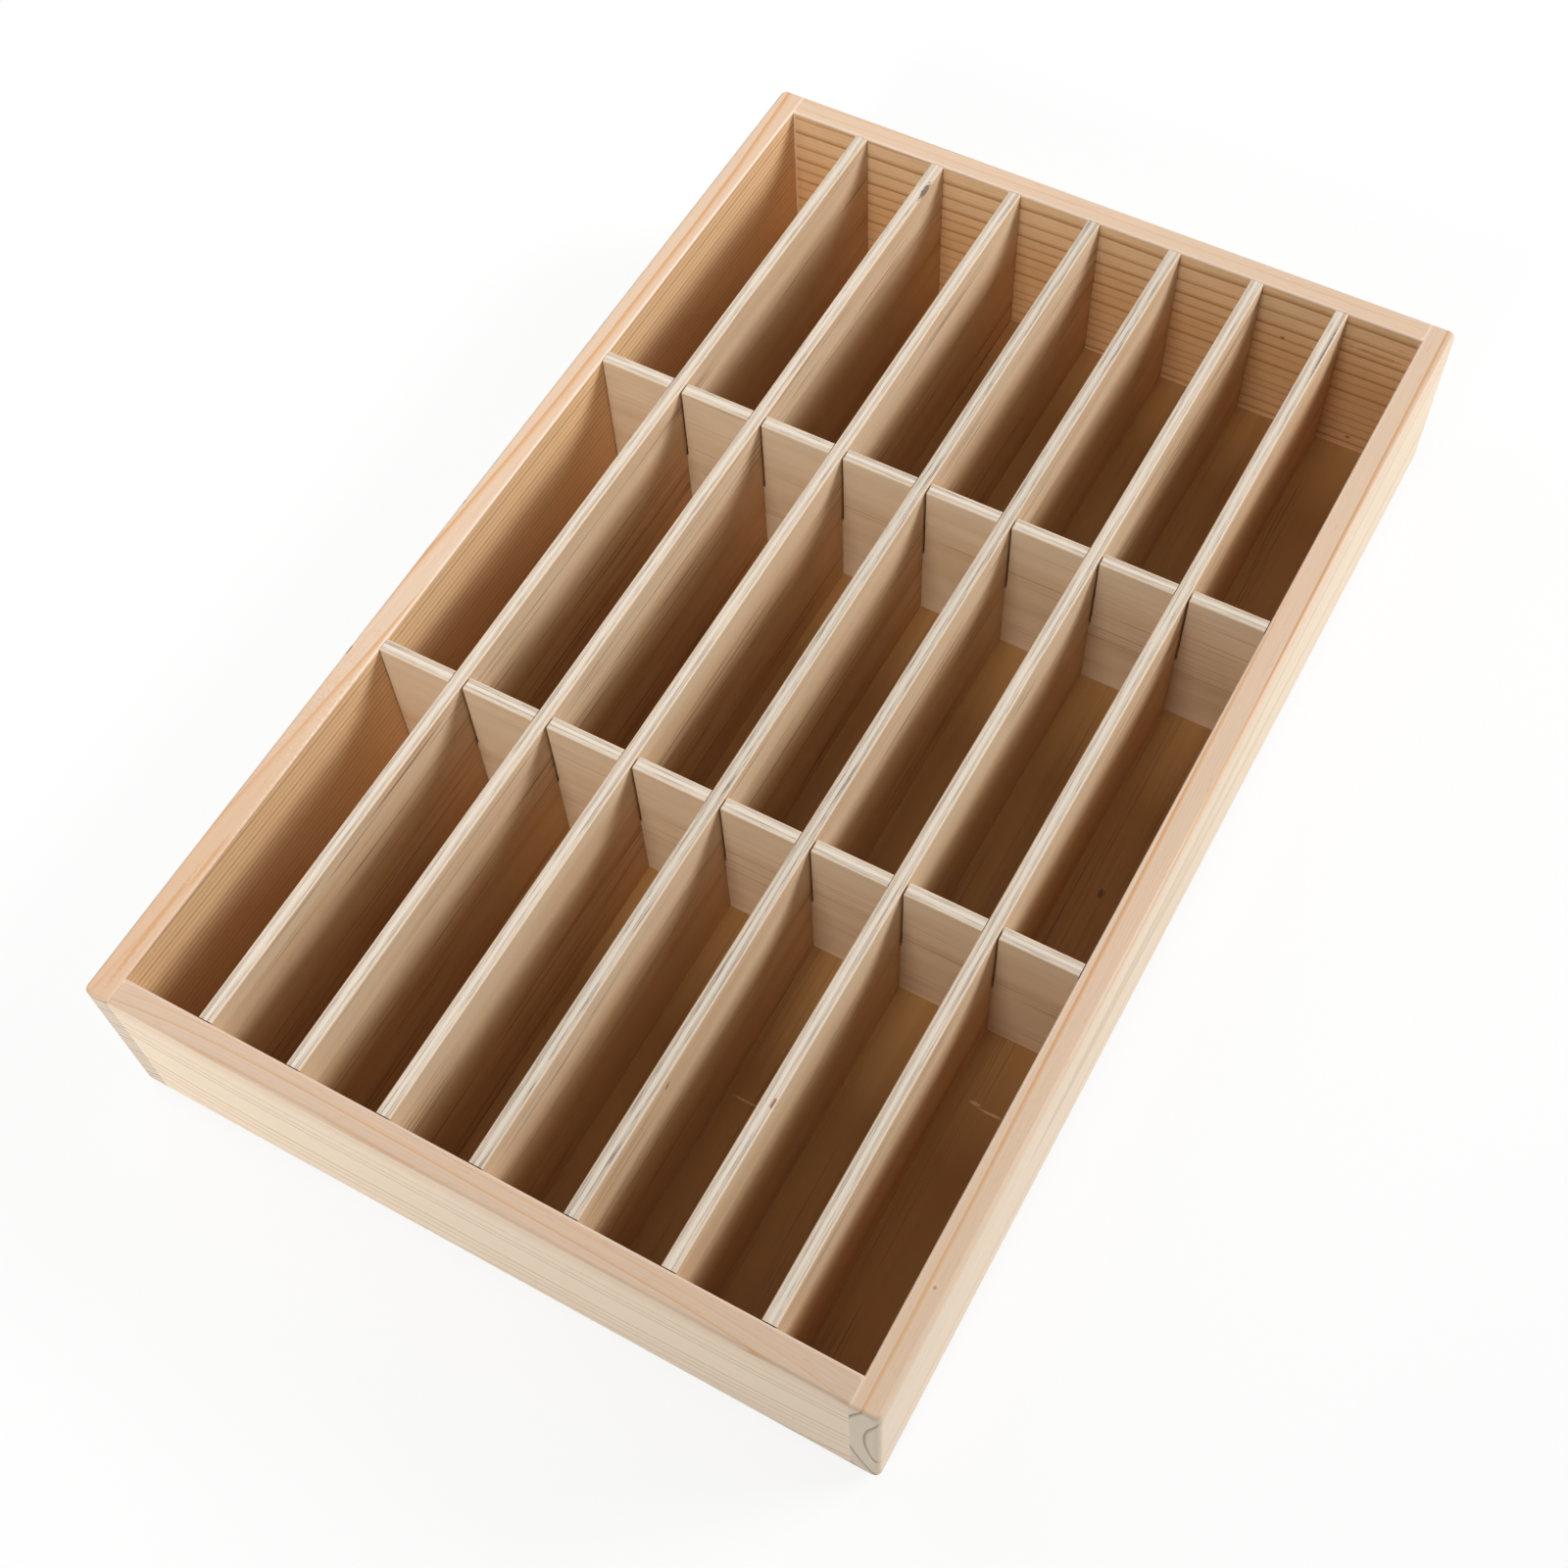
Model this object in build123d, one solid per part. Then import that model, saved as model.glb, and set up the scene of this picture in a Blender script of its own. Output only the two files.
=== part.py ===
from build123d import *
import os

# Open wooden box with a lift-out grid of half-lapped dividers. Millimetres, +Z up.
# X runs across the width, Y along the length from front to back.
# The origin is the middle of the underside of the bottom panel.

# The grid of compartments
column_count = 8                # compartments side by side across the width
row_count = 3                   # compartments one behind the other along the length
compartment_width = 33.25
compartment_length = 165.0
compartment_depth = 80.0        # floor to rim, and so the height of boards and dividers
divider_thickness = 6.0

# The box round it
board_thickness = 11.5
panel_thickness = 3.0
panel_inset = 3.0               # the panel stops this far inside the outer faces, out of sight
corner_radius = 3.0             # upright outer corners
outer_edge_radius = 1.6         # outer rim and foot edges, sanded over after the glue-up
inner_edge_radius = 0.8         # inner rim edge
edge_limit_share = 0.4          # no edge is rounded by more than this share of its board

# Fits of the lift-out grid
divider_end_gap = 0.3           # between the end of a divider and the board that it meets
slot_tight_gap = 0.15           # a slot leaves this much on the side that its divider leans to
slot_loose_gap = 0.85           # and this much on the other, which shows as a dark line
lap_gap = 1.5                   # each slot is this much deeper than half the depth
divider_edge_radius = 0.7       # top edges of the dividers

# Headless steel pins that hold the box together
pin_diameter = 1.2
pin_filler = 1.0                # filled wood over the head of a corner pin
corner_pin_length = 28.0
corner_pin_height_shares = (0.2, 0.5, 0.8)
bottom_pin_length = 16.0
bottom_pin_sink = 0.4           # the head lies this deep in the underside
side_pin_shares = (-0.44, -0.22, 0.0, 0.22, 0.44)
end_pin_shares = (-0.3, 0.0, 0.3)

# Sizes that follow
inner_width = column_count * compartment_width + (column_count - 1) * divider_thickness
inner_length = row_count * compartment_length + (row_count - 1) * divider_thickness
outer_width = inner_width + 2 * board_thickness
outer_length = inner_length + 2 * board_thickness
board_height = compartment_depth
floor_level = panel_thickness
rim_level = floor_level + board_height
middle_level = floor_level + board_height / 2
edge_limit = board_thickness * edge_limit_share
column_pitch = compartment_width + divider_thickness
row_pitch = compartment_length + divider_thickness
slot_width = divider_thickness + slot_tight_gap + slot_loose_gap
slot_shift = (slot_loose_gap - slot_tight_gap) / 2
slot_depth = compartment_depth / 2 + lap_gap
divider_round = min(divider_edge_radius, divider_thickness * edge_limit_share)


def block(size_x, size_y, size_z, x=0, y=0, z=0):
    # A square-edged block, centred in plan on x and y, standing on level z
    stock = Box(size_x, size_y, size_z, align=(Align.CENTER, Align.CENTER, Align.MIN))
    return Pos(x, y, z) * stock


def spread(count, pitch):
    # Centre lines of the dividers that part `count` compartments
    return [(place - (count - 2) / 2) * pitch for place in range(count - 1)]


long_divider_places = spread(column_count, column_pitch)
cross_divider_places = spread(row_count, row_pitch)


def outer_edges_at(shape, level):
    # The edges of the outer faces at one level: the loop that lies outside the inner walls
    edges = shape.edges().filter_by(Plane.XY).group_by(Axis.Z)[level]
    return [edge for edge in edges if not is_inner(edge)]


def is_inner(edge):
    middle = edge.center()
    return abs(middle.X) < inner_width / 2 + edge_limit and abs(middle.Y) < inner_length / 2 + edge_limit


def rounded_frame():
    # The four boards as one ring, with its edges sanded over before it is parted again
    ring = block(outer_width, outer_length, board_height, z=floor_level)
    ring -= block(inner_width, inner_length, board_height, z=floor_level)
    uprights = ring.edges().filter_by(Axis.Z)
    ring = fillet([edge for edge in uprights if not is_inner(edge)], min(corner_radius, edge_limit))
    edge_round = min(outer_edge_radius, edge_limit)
    ring = fillet(outer_edges_at(ring, -1), edge_round)
    ring = fillet(outer_edges_at(ring, 0), edge_round)
    rim = ring.edges().filter_by(Plane.XY).group_by(Axis.Z)[-1]
    return fillet([edge for edge in rim if is_inner(edge)], min(inner_edge_radius, edge_limit))


def peg(length):
    return Cylinder(pin_diameter / 2, length, align=(Align.CENTER, Align.CENTER, Align.MIN))


def corner_pins():
    # Through each side into the end grain of the ends, heads under a skin of filler
    pins = []
    for side in (-1, 1):
        for end in (-1, 1):
            for share in corner_pin_height_shares:
                x = side * (outer_width / 2 - pin_filler)
                y = end * (outer_length - board_thickness) / 2
                z = floor_level + board_height * share
                pins.append(Pos(x, y, z) * Rot(0, -90 * side, 0) * peg(corner_pin_length))
    return pins


def bottom_pins():
    # Up through the panel into the boards, along the strip where the panel overlaps them
    pin_line = (board_thickness - panel_inset) / 2
    places = []
    for side in (-1, 1):
        for share in side_pin_shares:
            places.append((side * (inner_width / 2 + pin_line), share * inner_length))
        for share in end_pin_shares:
            places.append((share * inner_width, side * (inner_length / 2 + pin_line)))
    return [Pos(x, y, bottom_pin_sink) * peg(bottom_pin_length) for x, y in places]


def bottom_pin_holes():
    # The drill runs up from the underside to the tip of each pin
    drill = peg(bottom_pin_length + bottom_pin_sink)
    return [Pos(pin.center().X, pin.center().Y, 0) * drill for pin in bottom_pins()]


def long_divider(x):
    # One strip along the length, slotted from below over the cross dividers
    profile = Rectangle(divider_thickness, compartment_depth)
    profile = fillet(profile.vertices().group_by(Axis.Y)[-1], divider_round)
    length = inner_length - 2 * divider_end_gap
    strip = extrude(Plane.XZ * profile, length / 2, both=True)
    strip = Pos(x, 0, middle_level) * strip
    for y in cross_divider_places:
        strip -= block(divider_thickness, slot_width, slot_depth, x, y + slot_shift, floor_level)
    return strip


def cross_divider(y):
    # One strip across the width, slotted from above for the long dividers
    profile = Rectangle(divider_thickness, compartment_depth)
    profile = fillet(profile.vertices().group_by(Axis.Y)[-1], divider_round)
    length = inner_width - 2 * divider_end_gap
    strip = extrude(Plane.YZ * profile, length / 2, both=True)
    strip = Pos(0, y, middle_level) * strip
    for x in long_divider_places:
        strip -= block(slot_width, divider_thickness, slot_depth, x + slot_shift, y, rim_level - slot_depth)
    return strip


def boards():
    # The ring parted at the butt joints: the sides run through, the ends sit between them
    ring = rounded_frame()
    for pin in corner_pins() + bottom_pin_holes():
        ring -= pin
    side_x = (inner_width + board_thickness) / 2
    end_y = (inner_length + board_thickness) / 2
    side_stock = block(board_thickness, outer_length, board_height, z=floor_level)
    end_stock = block(inner_width, board_thickness, board_height, z=floor_level)
    return {
        "left_side": ring & Pos(-side_x, 0, 0) * side_stock,
        "right_side": ring & Pos(side_x, 0, 0) * side_stock,
        "front_end": ring & Pos(0, -end_y, 0) * end_stock,
        "back_end": ring & Pos(0, end_y, 0) * end_stock,
    }


def bottom_panel():
    panel = block(outer_width - 2 * panel_inset, outer_length - 2 * panel_inset, panel_thickness)
    for hole in bottom_pin_holes():
        panel -= hole
    return panel


nodes = boards()
nodes["bottom_panel"] = bottom_panel()
for number, place in enumerate(long_divider_places, 1):
    nodes[f"long_divider_{number}"] = long_divider(place)
for number, place in enumerate(cross_divider_places, 1):
    nodes[f"cross_divider_{number}"] = cross_divider(place)
nodes["corner_pins"] = Compound(children=corner_pins())
nodes["bottom_pins"] = Compound(children=bottom_pins())

os.makedirs("parts", exist_ok=True)
for name, shape in nodes.items():
    export_step(shape, f"parts/{name}.step")
print("outer size", outer_width, outer_length, rim_level)
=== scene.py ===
import bpy
import math
from mathutils import Matrix, Vector


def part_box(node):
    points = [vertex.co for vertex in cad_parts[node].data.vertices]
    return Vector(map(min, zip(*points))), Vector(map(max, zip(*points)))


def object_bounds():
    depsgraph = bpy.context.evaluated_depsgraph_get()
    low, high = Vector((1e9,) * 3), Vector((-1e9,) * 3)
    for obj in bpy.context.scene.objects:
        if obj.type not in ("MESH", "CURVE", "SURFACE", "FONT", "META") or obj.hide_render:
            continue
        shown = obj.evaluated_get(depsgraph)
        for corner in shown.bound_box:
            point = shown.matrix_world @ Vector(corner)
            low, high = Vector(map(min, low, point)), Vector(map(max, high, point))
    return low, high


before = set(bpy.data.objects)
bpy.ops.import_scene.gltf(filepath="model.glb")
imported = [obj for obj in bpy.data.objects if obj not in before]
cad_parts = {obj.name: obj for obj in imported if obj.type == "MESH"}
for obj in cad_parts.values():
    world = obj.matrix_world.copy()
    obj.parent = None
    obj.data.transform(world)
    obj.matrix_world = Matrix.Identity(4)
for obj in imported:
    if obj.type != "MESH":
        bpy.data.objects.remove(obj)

cadBox = [list(corner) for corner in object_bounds()]
mm = 0.001
print("frame loaded:", len(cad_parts), "nodes")


# How a knot, fleck or patch of painted shade fades out at its edge, as shares of its reach

markEdge = {"grain": 900.0, "ragged": 0.5, "from": 0.5, "to": 1.0}


# A small bench for wiring shader nodes: values may be numbers, colours or sockets of earlier nodes

class Bench:
    def __init__(self, name):
        self.material = bpy.data.materials.new(name)
        self.material.use_nodes = True
        self.tree = self.material.node_tree
        self.shader = self.tree.nodes["Principled BSDF"]

    def add(self, kind, sockets=None, **settings):
        node = self.tree.nodes.new("ShaderNode" + kind)
        for key, value in settings.items():
            setattr(node, key, value)
        for key, value in (sockets or {}).items():
            self.plug(value, node.inputs[key])
        return node

    def plug(self, value, socket):
        if isinstance(value, bpy.types.NodeSocket):
            self.tree.links.new(value, socket)
        elif socket.type == "RGBA" and len(value) == 3:
            socket.default_value = (*value, 1.0)
        else:
            socket.default_value = value

    def math(self, operation, first, second=0.0):
        return self.add("Math", {0: first, 1: second}, operation=operation).outputs[0]

    def sum(self, *values):
        total = values[0]
        for value in values[1:]:
            total = self.math("ADD", total, value)
        return total

    def times(self, *values):
        total = values[0]
        for value in values[1:]:
            total = self.math("MULTIPLY", total, value)
        return total

    def step(self, value, low, high, toLow=0.0, toHigh=1.0):
        sockets = {"Value": value, "From Min": low, "From Max": high, "To Min": toLow, "To Max": toHigh}
        return self.add("MapRange", sockets, interpolation_type="SMOOTHSTEP").outputs[0]

    def cloud(self, axes, grain, seed=0.0, detail=2.0, roughness=0.5):
        # noise drawn out to the given millimetres along, through and up a board
        place = [self.math("DIVIDE", axis, length) for axis, length in zip(axes, grain)]
        place[0] = self.math("ADD", place[0], seed)
        spot = self.add("CombineXYZ", dict(enumerate(place))).outputs[0]
        sockets = {"Vector": spot, "Scale": 1.0, "Detail": detail, "Roughness": roughness}
        return self.add("TexNoise", sockets, noise_dimensions="3D").outputs[0]

    def swing(self, noise, reach):
        # a noise as a swing to both sides of zero
        return self.times(self.math("SUBTRACT", noise, 0.5), 2 * reach)

    def dice(self, value):
        return self.add("TexWhiteNoise", {"W": value}, noise_dimensions="1D").outputs[0]

    def mix(self, factor, first, second, mode="MIX"):
        node = self.add("Mix", data_type="RGBA", blend_type=mode, clamp_factor=True)
        for key, value in ((0, factor), (6, first), (7, second)):
            self.plug(value, node.inputs[key])
        return node.outputs[2]

    def grade(self, colour, value):
        return self.add("HueSaturation", {"Value": value, "Color": colour}).outputs[0]

    def marks(self, colour, spots):
        # knots, flecks, voids and patches of painted shade: place and half size in millimetres of the whole
        # box
        place = self.add("TexCoord").outputs["Object"]
        sockets = {"Vector": place, "Scale": markEdge["grain"], "Detail": 2.0}
        rough = self.add("TexNoise", sockets).outputs[0]
        for spot in spots:
            middle, reach = (tuple(mm * length for length in spot[key]) for key in ("place", "reach"))
            moved = self.add("VectorMath", {0: place, 1: middle}, operation="SUBTRACT").outputs[0]
            scaled = self.add("VectorMath", {0: moved, 1: reach}, operation="DIVIDE").outputs[0]
            away = self.add("VectorMath", {0: scaled}, operation="LENGTH").outputs["Value"]
            away = self.sum(away, self.swing(rough, markEdge["ragged"]))
            share = self.step(away, markEdge["from"], markEdge["to"], spot["strength"], 0.0)
            colour = self.mix(share, colour, spot["colour"])
        return colour

    def finish(self, colour, roughness, height, relief):
        bump = self.add("Bump", {"Height": height, "Strength": 1.0, "Distance": relief * mm})
        self.plug(colour, self.shader.inputs["Base Color"])
        self.plug(roughness, self.shader.inputs["Roughness"])
        self.plug(bump.outputs[0], self.shader.inputs["Normal"])
        return self.material


def boardAxes(bench, node, order):
    # Millimetres from the middle of a board, and where its surface faces: along it, through it and up it
    low, high = (Vector(corner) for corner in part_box(node))
    texture = bench.add("TexCoord")
    middle = tuple((low + high) / 2)
    moved = bench.add("VectorMath", {0: texture.outputs["Object"], 1: middle}, operation="SUBTRACT")
    scaled = bench.add("VectorMath", {0: moved.outputs[0], "Scale": 1 / mm}, operation="SCALE")
    split = bench.add("SeparateXYZ", {0: scaled.outputs[0]}).outputs
    facing = bench.add("SeparateXYZ", {0: texture.outputs["Normal"]}).outputs
    size = (high - low) / mm
    picks = ["XYZ".index(letter) for letter in order]
    return [split[pick] for pick in picks], [facing[pick] for pick in picks], [size[pick] for pick in picks]


def edgeWearAndHighlight(bench, axes, size, width):
    # 1 on the arrises, where two of the board's faces are both close by; it sets the rubbed arrises'
    # roughness and where the painted highlight goes
    near = []
    for axis, length in zip(axes, size):
        gap = bench.math("SUBTRACT", length / 2, bench.math("ABSOLUTE", axis))
        near.append(bench.step(gap, 0.0, width, 1.0, 0.0))
    pairs = [bench.times(near[0], near[1]), bench.times(near[1], near[2]), bench.times(near[0], near[2])]
    return bench.math("MAXIMUM", bench.math("MAXIMUM", pairs[0], pairs[1]), pairs[2])


# Painted shade: wood deeper down in the compartments is painted a darker, warmer tone than at the rim

depthShade = {"tint": (0.95, 0.82, 0.66), "from": 6.0, "to": 44.0}


def paintDepthShade(bench, colour, up, height, share):
    depth = bench.math("SUBTRACT", height / 2, up)
    deep = bench.step(depth, depthShade["from"], depthShade["to"])
    return bench.mix(bench.times(deep, share), colour, depthShade["tint"], "MULTIPLY")


# Pine boards: a pith line beside each board gives its growth rings, so faces and end grain agree.
# pith is (through, up) from the board's middle in mm, lean its drift per mm of length,
# bow how far it has bent away at the ends, ring the width of a year.
# late and line say how strongly the dark wood and its thin edge show,
# outerLate and topLate scale both on those faces.
# A grain is millimetres along, through and up a board, a span the range over which something comes in

pineLook = {
    "top": {"early": (0.66, 0.49, 0.355), "late": (0.625, 0.35, 0.16), "line": (0.55, 0.265, 0.10)},
    # outer faces: the board's own tone, painted paler for a sheen off the white table
    "outer": {"early": (0.74, 0.605, 0.46), "late": (0.55, 0.385, 0.215), "line": (0.42, 0.26, 0.12)},
    "inner": {"early": (0.74, 0.505, 0.285), "late": (0.50, 0.265, 0.10), "line": (0.22, 0.10, 0.035)},
    "end": {"early": (0.70, 0.58, 0.445), "late": (0.24, 0.135, 0.06)},
    "blush": (0.665, 0.42, 0.275),
    # painted highlight: the colour of the pale line along the inner arris of the rim
    "arris": (0.80, 0.63, 0.50),
    "arrisWidth": 1.6,
    "arrisSpan": (3.0, 4.5),
    "arrisShare": 0.9,
    "seasonEnd": 0.95,                  # share of a year at which its dark line stops
    "lineSpan": (0.78, 0.93),
    "fineSpan": (0.4, 0.95),            # thin lines within a year
    "fineShare": 0.14,
    "wanderGrain": (130, 30, 30),
    "unevenGrain": (11, 1, 1),
    "fibreGrain": (26, 0.45, 0.45),
    "fibreSwing": 0.12,
    "canalGrain": (6, 0.6, 0.6),
    "canalSpan": (0.67, 0.76),
    "canalShare": 0.5,
    "toneGrain": (170, 9, 26),
    "toneSwing": 0.05,
    "blushSpan": (0.35, 0.7),
    "topTurn": (0.2, 0.95),             # how far a surface has to turn to count as top, side or end
    "sideTurn": (0.5, 0.9),
    "endTurn": (0.6, 0.9),
    "rimGlow": (1.0, 16.0, 0.45, 0.0),  # the top's tones reach this far down the outer faces
    "fadeSpan": (8.0, 45.0),            # depth over which the rings of an inner face pale
    # depth over which the painted light of an inner face comes in
    "innerPaintedLightSpan": (0.0, 36.0, 0.35, 1.0),
    "rough": {"base": 0.5, "fibre": 0.16, "late": -0.08, "arrisWearAndHighlight": -0.06},
    "height": {"fibre": 0.7, "late": 0.5, "canal": -0.5},
    "relief": 0.05,
}
pineBoards = {
    "left_side": {
        "order": "YXZ", "out": -1, "seed": 3.1,
        "pith": (55, -150), "lean": (0.0, 0.012), "bow": (0.0, -3.2), "bowPower": 2.0,
        "ring": 2.9, "phase": 0.52, "uneven": 0.3, "wobble": 0.6, "faint": 0.4, "fine": 2,
        "lateFrom": 0.6, "endFrom": 0.5, "late": 0.95, "line": 1.0, "innerFade": 0.6,
        "outerLate": 0.45, "topLate": 1.0,
        "blush": 0.28, "depthShade": 0.0, "topPaintedLight": 1.01, "outerPaintedLight": 1.0, "innerPaintedLight": 1.15,
    },
    "right_side": {
        "order": "YXZ", "out": 1, "seed": 11.7,
        "pith": (69.5, 6), "lean": (0.012, 0.0), "bow": (0.0, 0.0), "bowPower": 2.0,
        "ring": 8.1, "phase": 0.94, "uneven": 0.05, "wobble": 0.8, "faint": 0.8, "fine": 7,
        "lateFrom": 0.82, "endFrom": 0.76, "late": 0.9, "line": 0.65, "innerFade": 0.6,
        "outerLate": 0.38, "topLate": 1.0,
        "blush": 0.2, "depthShade": 1.0, "topPaintedLight": 1.0, "outerPaintedLight": 1.0, "innerPaintedLight": 1.0,
    },
    "front_end": {
        "order": "XYZ", "out": -1, "seed": 23.4,
        "pith": (90, -75), "lean": (0.016, 0.0), "bow": (6.0, 0.0), "bowPower": 4.0,
        "ring": 3.0, "phase": 0.2, "uneven": 0.9, "wobble": 0.7, "faint": -0.1, "fine": 3,
        "lateFrom": 0.55, "endFrom": 0.7, "late": 0.85, "line": 0.6, "innerFade": 0.6,
        "outerLate": 1.3, "topLate": 1.0,
        "blush": 0.35, "depthShade": 1.0, "topPaintedLight": 0.88, "outerPaintedLight": 1.15, "innerPaintedLight": 1.0,
    },
    "back_end": {
        "order": "XYZ", "out": 1, "seed": 37.9,
        "pith": (46, 62), "lean": (0.0, -0.02), "bow": (0.0, 1.5), "bowPower": 2.0,
        "ring": 4.4, "phase": 0.3, "uneven": 0.6, "wobble": 1.2, "faint": 0.45, "fine": 4,
        "lateFrom": 0.55, "endFrom": 0.7, "late": 0.9, "line": 0.4, "innerFade": 0.15,
        "outerLate": 0.8, "topLate": 0.45,
        "blush": 0.1, "depthShade": 1.0, "topPaintedLight": 1.01, "outerPaintedLight": 1.0, "innerPaintedLight": 1.0,
    },
}
pineMarks = {
    "left_side": [
        # painted shade: the front part of the top darker, where less light falls
        {"place": (-160, -262, 83), "reach": (16, 190, 3),
         "colour": (0.58, 0.36, 0.21), "strength": 0.6},
        {"place": (-158.4, -232, 83), "reach": (1.2, 36, 1.5),
         "colour": (0.56, 0.29, 0.12), "strength": 0.8},
        {"place": (-156.4, -199, 83), "reach": (0.9, 15, 1.5),
         "colour": (0.56, 0.29, 0.12), "strength": 0.7},
        {"place": (-165, -94, 83), "reach": (1.2, 3.0, 1.2),
         "colour": (0.12, 0.06, 0.03), "strength": 0.8},
        {"place": (-165, -10, 83), "reach": (0.8, 1.6, 1.0),
         "colour": (0.16, 0.08, 0.04), "strength": 0.7},
    ],
    "right_side": [
        {"place": (160.8, -216, 83), "reach": (0.7, 0.9, 1.0),
         "colour": (0.16, 0.09, 0.05), "strength": 0.8},
        # painted shade: the front part of the top darker, where less light falls
        {"place": (160, -262, 83), "reach": (16, 150, 3),
         "colour": (0.60, 0.43, 0.28), "strength": 0.35},
    ],
    "back_end": [
        {"place": (95, 253.5, 55.5), "reach": (1.4, 2.0, 1.0),
         "colour": (0.2, 0.09, 0.035), "strength": 0.8},
        {"place": (135, 253.5, 10), "reach": (1.5, 2.0, 1.2),
         "colour": (0.2, 0.09, 0.035), "strength": 0.8},
        {"place": (138, 253.5, 65.5), "reach": (15, 2.0, 1.3),
         "colour": (0.45, 0.17, 0.06), "strength": 0.6},
    ],
}


def yearRings(bench, axes, size, board):
    along, through, up = axes
    offset = bench.math("ABSOLUTE", bench.times(along, 2 / size[0]))
    bend = bench.math("POWER", offset, board["bowPower"])
    legs = []
    for axis, pith, lean, bow in zip((through, up), board["pith"], board["lean"], board["bow"]):
        leg = bench.sum(axis, -pith, bench.times(along, lean), bench.times(bend, bow))
        legs.append(bench.times(leg, leg))
    wander = bench.cloud(axes, pineLook["wanderGrain"], board["seed"])
    radius = bench.sum(bench.math("SQRT", bench.sum(*legs)), bench.swing(wander, board["wobble"]))
    even = bench.math("DIVIDE", radius, board["ring"])
    drift = bench.cloud((radius, 0.0, 0.0), pineLook["unevenGrain"], board["seed"], 1.0)
    uneven = bench.swing(drift, board["uneven"])
    years = bench.sum(even, uneven, board["phase"])
    bold = bench.step(bench.dice(bench.math("FLOOR", years)), 0.0, 1.0, board["faint"], 1.0)
    fine = bench.step(bench.math("FRACT", bench.times(years, board["fine"])), *pineLook["fineSpan"])
    return bench.math("FRACT", years), bold, fine


def pineMaterial(node, board):
    bench = Bench("pine_" + node)
    axes, facing, size = boardAxes(bench, node, board["order"])
    look, seed = pineLook, board["seed"]

    # pale early wood darkens to a late-wood line that ends sharply
    season, bold, fine = yearRings(bench, axes, size, board)
    lineEnd = bench.step(season, look["seasonEnd"], 1.0, 1.0, 0.0)
    lateWood = bench.times(bench.step(season, board["lateFrom"], look["seasonEnd"]), lineEnd, bold)
    lateLine = bench.times(bench.step(season, *look["lineSpan"]), lineEnd, bold)
    endLine = bench.times(bench.step(season, board["endFrom"], look["seasonEnd"]), lineEnd, bold)

    # fibres, resin canals and slow changes of tone
    fibre = bench.cloud(axes, look["fibreGrain"], seed, 3.0, 0.6)
    canal = bench.step(bench.cloud(axes, look["canalGrain"], seed, 1.0), *look["canalSpan"])
    tone = bench.cloud(axes, look["toneGrain"], seed)

    # each way that a board faces has its own tones; the outer faces are paler partly by painted sheen
    onTop = bench.step(facing[2], *look["topTurn"])
    onInner = bench.step(bench.times(facing[1], -board["out"]), *look["sideTurn"])
    onOuter = bench.step(bench.times(facing[1], board["out"]), *look["sideTurn"])
    onEnd = bench.step(bench.math("ABSOLUTE", facing[0]), *look["endTurn"])
    depth = bench.math("SUBTRACT", size[2] / 2, axes[2])
    rimGlow = bench.step(depth, *look["rimGlow"])
    tones = {}
    for part in ("early", "late", "line"):
        shade = bench.mix(rimGlow, look["outer"][part], look["top"][part])
        shade = bench.mix(onInner, shade, look["inner"][part])
        tones[part] = bench.mix(onTop, shade, look["top"][part])
    blush = bench.times(bench.step(tone, *look["blushSpan"]), board["blush"], onTop)
    face = bench.mix(blush, tones["early"], look["blush"])
    paler = bench.step(depth, *look["fadeSpan"], 0.0, -board["innerFade"])
    fade = bench.sum(1.0, bench.times(onInner, paler), bench.times(onOuter, board["outerLate"] - 1),
                     bench.times(onTop, board["topLate"] - 1))
    face = bench.mix(bench.times(fine, look["fineShare"]), face, tones["late"])
    face = bench.mix(bench.times(lateWood, fade, board["late"]), face, tones["late"])
    face = bench.mix(bench.times(lateLine, fade, board["line"]), face, tones["line"])
    face = bench.mix(bench.times(canal, look["canalShare"]), face, tones["late"])
    cut = bench.mix(endLine, look["end"]["early"], look["end"]["late"])
    arrisWearAndHighlight = edgeWearAndHighlight(bench, axes, size, look["arrisWidth"])
    rimHighlight = bench.times(arrisWearAndHighlight, bench.step(bench.times(axes[1], -board["out"]), *look["arrisSpan"]))
    # painted highlight: a pale line along the inner arris of the rim
    face = bench.mix(bench.times(rimHighlight, look["arrisShare"]), face, look["arris"])
    colour = bench.mix(onEnd, face, cut)
    # painted shade: the inner faces darker and warmer deeper down
    colour = paintDepthShade(bench, colour, axes[2], size[2], bench.times(onInner, board["depthShade"]))
    light = bench.sum(1.0, bench.swing(fibre, look["fibreSwing"]), bench.swing(tone, look["toneSwing"]))
    # painted light and shade: per board, the top, the outer face and the lower inner face are made lighter
    # or darker
    light = bench.sum(light, bench.times(onTop, board["topPaintedLight"] - 1),
                      bench.times(onOuter, board["outerPaintedLight"] - 1),
                      bench.times(onInner, bench.step(depth, *look["innerPaintedLightSpan"]), board["innerPaintedLight"] - 1))
    colour = bench.marks(bench.grade(colour, light), pineMarks.get(node, []))

    share = look["rough"]
    rough = bench.sum(share["base"], bench.times(fibre, share["fibre"]),
                      bench.times(lateWood, share["late"]), bench.times(arrisWearAndHighlight, share["arrisWearAndHighlight"]))
    share = look["height"]
    height = bench.sum(bench.times(fibre, share["fibre"]), bench.times(lateWood, share["late"]),
                       bench.times(canal, share["canal"]))
    return bench.finish(colour, rough, height, look["relief"])


for nodeName, board in pineBoards.items():
    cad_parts[nodeName].data.materials[0] = pineMaterial(nodeName, board)
print("pine boards finished:", len(pineBoards))


# Plywood: veneers through the thickness, with the face grain along the strip

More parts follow.
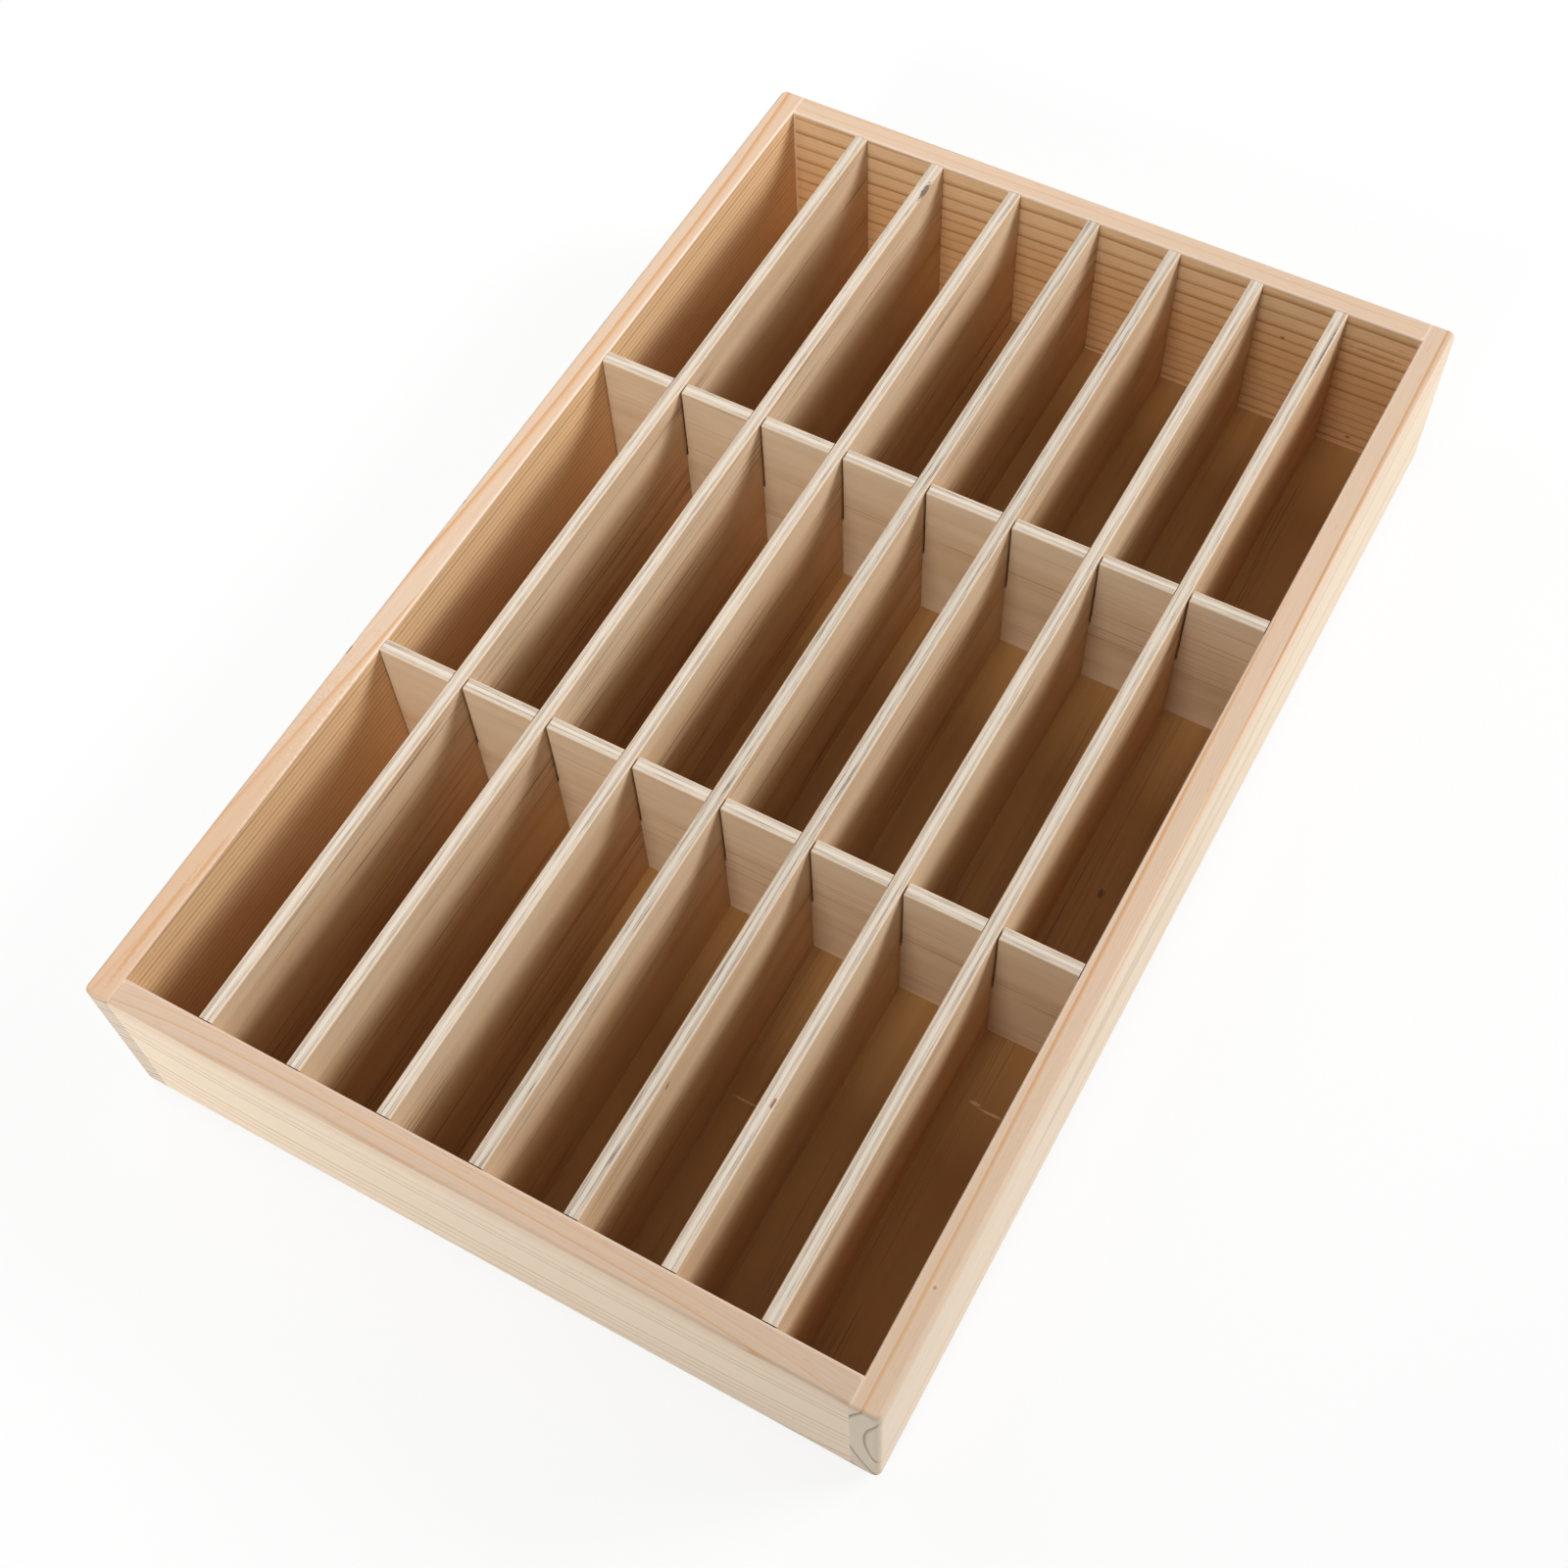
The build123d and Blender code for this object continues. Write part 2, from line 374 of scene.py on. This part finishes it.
plyLook = {
    "face": (0.67, 0.51, 0.345),
    "faceWarm": (0.58, 0.40, 0.24),
    "floor": (0.57, 0.32, 0.115),
    "floorWarm": (0.47, 0.245, 0.082),
    "streak": (0.24, 0.115, 0.055),
    "skin": (0.68, 0.53, 0.39),         # edge of a face veneer
    "middle": (0.70, 0.605, 0.49),      # edge of the core
    "cross": (0.49, 0.395, 0.31),       # edge of the cross plies between them
    "dash": (0.22, 0.18, 0.155),
    "skinWidth": 0.75,
    "crossWidth": 1.55,
    "skinBlur": 0.1,
    "crossBlur": 0.15,
    "bandGrain": (280, 30, 15),
    "bandSpan": (0.4, 0.75),
    "fibreGrain": (24, 0.45, 0.45),
    "fibreSwing": 0.07,
    "lineGrain": (75, 7, 0.75),
    "lineSpan": (0.57, 0.68),
    "patchGrain": (150, 7, 16),
    "patchSpan": (0.44, 0.58),
    "waveGrain": (55, 1, 1),
    "waveSwing": 0.45,
    "greyGrain": (42, 0.7, 9),
    "greySpan": (0.38, 0.66, 0.2, 1.0),
    "dashGrain": (13, 0.32, 3),
    "dashSpan": (0.52, 0.68),
    "faceTurn": (0.6, 0.85),
    "rough": {"base": 0.56, "fibre": 0.16},
    "height": {"streak": -0.6, "dash": -1.2},
    "relief": 0.04,
}
plyStrips = {}
for number in range(1, 8):
    plyStrips[f"long_divider_{number}"] = {
        "order": "YXZ", "depthShade": 1.0, "streak": 0.9, "edgeTone": 0.99, "dashes": 0.55, "flat": False,
        "seed": 1.7 + number * 2.3,
    }
for number in (4, 5):
    plyStrips[f"long_divider_{number}"].update({"edgeTone": 0.90, "dashes": 0.95})
for number in (1, 2):
    plyStrips[f"cross_divider_{number}"] = {
        "order": "XYZ", "depthShade": 0.35, "streak": 0.4, "edgeTone": 1.0, "dashes": 0.55, "flat": False,
        "seed": 31.1 + number * 2.3,
    }
plyStrips["bottom_panel"] = {
    "order": "YZX", "streak": 0.5, "edgeTone": 1.0, "dashes": 0.55, "flat": True,
    "seed": 53.9,
}
plyMarks = {
    "long_divider_2": [
        {"place": (-76.0, 236, 83), "reach": (1.6, 7.5, 1.5),
         "colour": (0.10, 0.055, 0.03), "strength": 0.9},
    ],
    "long_divider_5": [
        {"place": (42.2, -194, 77), "reach": (1.0, 2.2, 1.2),
         "colour": (0.14, 0.06, 0.03), "strength": 0.8},
    ],
    "long_divider_6": [
        {"place": (80.3, -184, 83), "reach": (0.8, 3.2, 1.0),
         "colour": (0.26, 0.10, 0.045), "strength": 0.9},
    ],
    "long_divider_7": [
        {"place": (119.6, 228, 83), "reach": (0.6, 22, 1.0),
         "colour": (0.13, 0.11, 0.10), "strength": 0.75},
    ],
    "bottom_panel": [
        {"place": (135, -12, 3), "reach": (1.6, 3.0, 1.0),
         "colour": (0.16, 0.07, 0.025), "strength": 0.8},
        {"place": (51, -161, 3), "reach": (6.5, 0.7, 1.0),
         "colour": (0.95, 0.62, 0.33), "strength": 0.8},
        {"place": (131, -119.3, 3), "reach": (3.2, 1.0, 1.0),
         "colour": (0.95, 0.62, 0.33), "strength": 0.7},
        {"place": (138.5, -120.5, 3), "reach": (6, 0.7, 1.0),
         "colour": (0.95, 0.62, 0.33), "strength": 0.8},
    ],
}


def plyMaterial(node, strip):
    bench = Bench("ply_" + node)
    axes, facing, size = boardAxes(bench, node, strip["order"])
    along, through, up = axes
    look, seed = plyLook, strip["seed"]
    kind = "floor" if strip["flat"] else "face"

    # face veneer: soft bands, fine fibres and a few long thin streaks
    band = bench.cloud(axes, look["bandGrain"], seed, 3.0)
    fibre = bench.cloud(axes, look["fibreGrain"], seed, 3.0, 0.6)
    line = bench.cloud(axes, look["lineGrain"], seed * 2, 2.0)
    patch = bench.cloud(axes, look["patchGrain"], seed * 3, 1.0)
    streak = bench.times(bench.step(line, *look["lineSpan"]), bench.step(patch, *look["patchSpan"]))
    face = bench.mix(bench.step(band, *look["bandSpan"]), look[kind], look[kind + "Warm"])
    face = bench.mix(bench.times(streak, strip["streak"]), face, look["streak"])

    # edges: the plies lie at set depths from the middle, a little wavy
    wave = bench.cloud((along, 0.0, 0.0), look["waveGrain"], seed, 1.0)
    depth = bench.math("ABSOLUTE", bench.sum(through, bench.swing(wave, look["waveSwing"])))
    crossEnd = size[1] / 2 - look["skinWidth"]
    crossStart = crossEnd - look["crossWidth"]
    blur = look["crossBlur"]
    inCross = bench.times(bench.step(depth, crossStart - blur, crossStart + blur),
                          bench.step(depth, crossEnd - blur, crossEnd + blur, 1.0, 0.0))
    grey = bench.cloud(axes, look["greyGrain"], seed * 4, 2.0)
    dash = bench.step(bench.cloud(axes, look["dashGrain"], seed * 5, 2.0), *look["dashSpan"])
    blur = look["skinBlur"]
    layer = bench.mix(bench.step(depth, crossEnd - blur, crossEnd + blur), look["middle"], look["skin"])
    layer = bench.mix(bench.times(inCross, bench.step(grey, *look["greySpan"])), layer, look["cross"])
    layer = bench.mix(bench.times(inCross, dash, strip["dashes"]), layer, look["dash"])
    layer = bench.grade(layer, strip["edgeTone"])
    onFace = bench.step(bench.math("ABSOLUTE", facing[1]), *look["faceTurn"])
    colour = bench.mix(onFace, layer, face)
    if not strip["flat"]:
        # painted shade: the divider faces darker and warmer deeper down
        colour = paintDepthShade(bench, colour, up, size[2], bench.times(onFace, strip["depthShade"]))

    light = bench.sum(1.0, bench.swing(fibre, look["fibreSwing"]))
    colour = bench.marks(bench.grade(colour, light), plyMarks.get(node, []))
    rough = bench.sum(look["rough"]["base"], bench.times(fibre, look["rough"]["fibre"]))
    height = bench.sum(fibre, bench.times(streak, look["height"]["streak"]),
                       bench.times(inCross, dash, look["height"]["dash"]))
    return bench.finish(colour, rough, height, look["relief"])


for nodeName, strip in plyStrips.items():
    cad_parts[nodeName].data.materials[0] = plyMaterial(nodeName, strip)
print("plywood finished:", len(plyStrips))


# Steel pins, out of sight in the joints

pinLook = {"steel": (0.52, 0.52, 0.54), "dull": (0.30, 0.29, 0.28), "grain": 900.0, "dullSpan": (0.4, 0.7),
           "rough": (0.3, 0.5), "relief": 0.02}


def pinMaterial():
    bench = Bench("pin_wire")
    place = bench.add("TexCoord").outputs["Object"]
    drawn = bench.add("TexNoise", {"Vector": place, "Scale": pinLook["grain"], "Detail": 3.0}).outputs[0]
    bench.shader.inputs["Metallic"].default_value = 1.0
    colour = bench.mix(bench.step(drawn, *pinLook["dullSpan"]), pinLook["steel"], pinLook["dull"])
    return bench.finish(colour, bench.step(drawn, 0.0, 1.0, *pinLook["rough"]), drawn, pinLook["relief"])


wire = pinMaterial()
for nodeName in ("corner_pins", "bottom_pins"):
    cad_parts[nodeName].data.materials[0] = wire
print("pins finished")


# White table: it keeps the soft shadow round the box, and the camera sees the rest of it as white

table = {"size": 12.0, "drop": 0.2, "white": (0.9, 0.9, 0.9), "glow": 0.85,
         "fadeFrom": 0.35, "fadeTo": 1.3}     # metres from the middle


def seenDirectly(tree):
    # 1 for rays that show the background: to the camera, in gloss or through glass
    path = tree.nodes.new("ShaderNodeLightPath").outputs
    seen = path["Is Camera Ray"]
    for name in ("Is Glossy Ray", "Is Transmission Ray"):
        either = tree.nodes.new("ShaderNodeMath")
        either.operation = "MAXIMUM"
        tree.links.new(seen, either.inputs[0])
        tree.links.new(path[name], either.inputs[1])
        seen = either.outputs[0]
    return seen


def makeTable():
    place = (0, 0, cadBox[0][2] - table["drop"] * mm)
    bpy.ops.mesh.primitive_plane_add(size=table["size"], location=place)
    top = bpy.context.object
    top.name = "table"
    bench = Bench("table_white")
    matt = bench.add("BsdfDiffuse", {"Color": table["white"]})
    glow = bench.add("Emission", {"Color": (1, 1, 1), "Strength": 1.0})
    away = bench.add("VectorMath", {0: bench.add("TexCoord").outputs["Object"]}, operation="LENGTH")
    white = bench.step(away.outputs["Value"], table["fadeFrom"], table["fadeTo"], table["glow"], 1.0)
    share = bench.times(seenDirectly(bench.tree), white)
    blend = bench.add("MixShader", {0: share, 1: matt.outputs[0], 2: glow.outputs[0]})
    bench.plug(blend.outputs[0], bench.tree.nodes["Material Output"].inputs["Surface"])
    top.data.materials.append(bench.material)


makeTable()
print("table laid")


# Lights: a soft box on the right, one high on the left, and a low fill from the front

lamps = {
    "sideBox": {
        "place": (1.75, 1.5, 1.4), "aim": (0, 0, 0.04),
        "size": (1.4, 0.85), "spread": 180, "power": 65.0,
    },
    "overhead": {
        "place": (-0.7, 0.0, 1.1), "aim": (0, 0, 0.04),
        "size": (0.9, 0.9), "spread": 180, "power": 6.0,
    },
    "frontFill": {
        "place": (-0.1, -3.0, 1.8), "aim": (-0.36, 0.05, 0.04),
        "size": (0.5, 0.6), "spread": 25, "power": 1.78,
    },
}
sky = {"glow": 0.205}


def makeLamps():
    for name, lamp in lamps.items():
        light = bpy.data.lights.new(name, "AREA")
        light.shape = "RECTANGLE"
        light.size, light.size_y = lamp["size"]
        light.energy = lamp["power"]
        light.spread = math.radians(lamp["spread"])
        holder = bpy.data.objects.new(name, light)
        holder.location = lamp["place"]
        look = Vector(lamp["aim"]) - Vector(lamp["place"])
        holder.rotation_euler = look.to_track_quat("-Z", "Y").to_euler()
        bpy.context.scene.collection.objects.link(holder)


def makeSky():
    world = bpy.data.worlds.new("studio")
    bpy.context.scene.world = world
    world.use_nodes = True
    tree = world.node_tree
    strength = tree.nodes.new("ShaderNodeMapRange")
    strength.inputs["To Min"].default_value = sky["glow"]
    tree.links.new(seenDirectly(tree), strength.inputs["Value"])
    back = tree.nodes["Background"]
    back.inputs["Color"].default_value = (1, 1, 1, 1)
    tree.links.new(strength.outputs[0], back.inputs["Strength"])


makeLamps()
makeSky()
print("lamps:", len(lamps))


# Camera, solved from the straight edges of the box; the picture is a crop, so its middle is shifted

lens = {"eye": (0.2455, -0.4203, 0.781), "aim": (0.034, -0.0896, 0.083), "roll": -4.052, "focal": 48.84,
        "sensor": 36.0, "shift": (-0.00265, 0.03808)}


def makeCamera():
    camera = bpy.data.cameras.new("camera")
    camera.lens = lens["focal"]
    camera.sensor_width = lens["sensor"]
    camera.shift_x, camera.shift_y = lens["shift"]
    holder = bpy.data.objects.new("camera", camera)
    eye = Vector(lens["eye"])
    turn = (Vector(lens["aim"]) - eye).to_track_quat("-Z", "Y").to_matrix().to_4x4()
    roll = Matrix.Rotation(math.radians(lens["roll"]), 4, "Z")
    holder.matrix_world = Matrix.Translation(eye) @ turn @ roll
    bpy.context.scene.collection.objects.link(holder)
    bpy.context.scene.camera = holder


makeCamera()
print("camera set")
bpy.context.scene.view_settings.view_transform = "Standard"

print("scene ready")
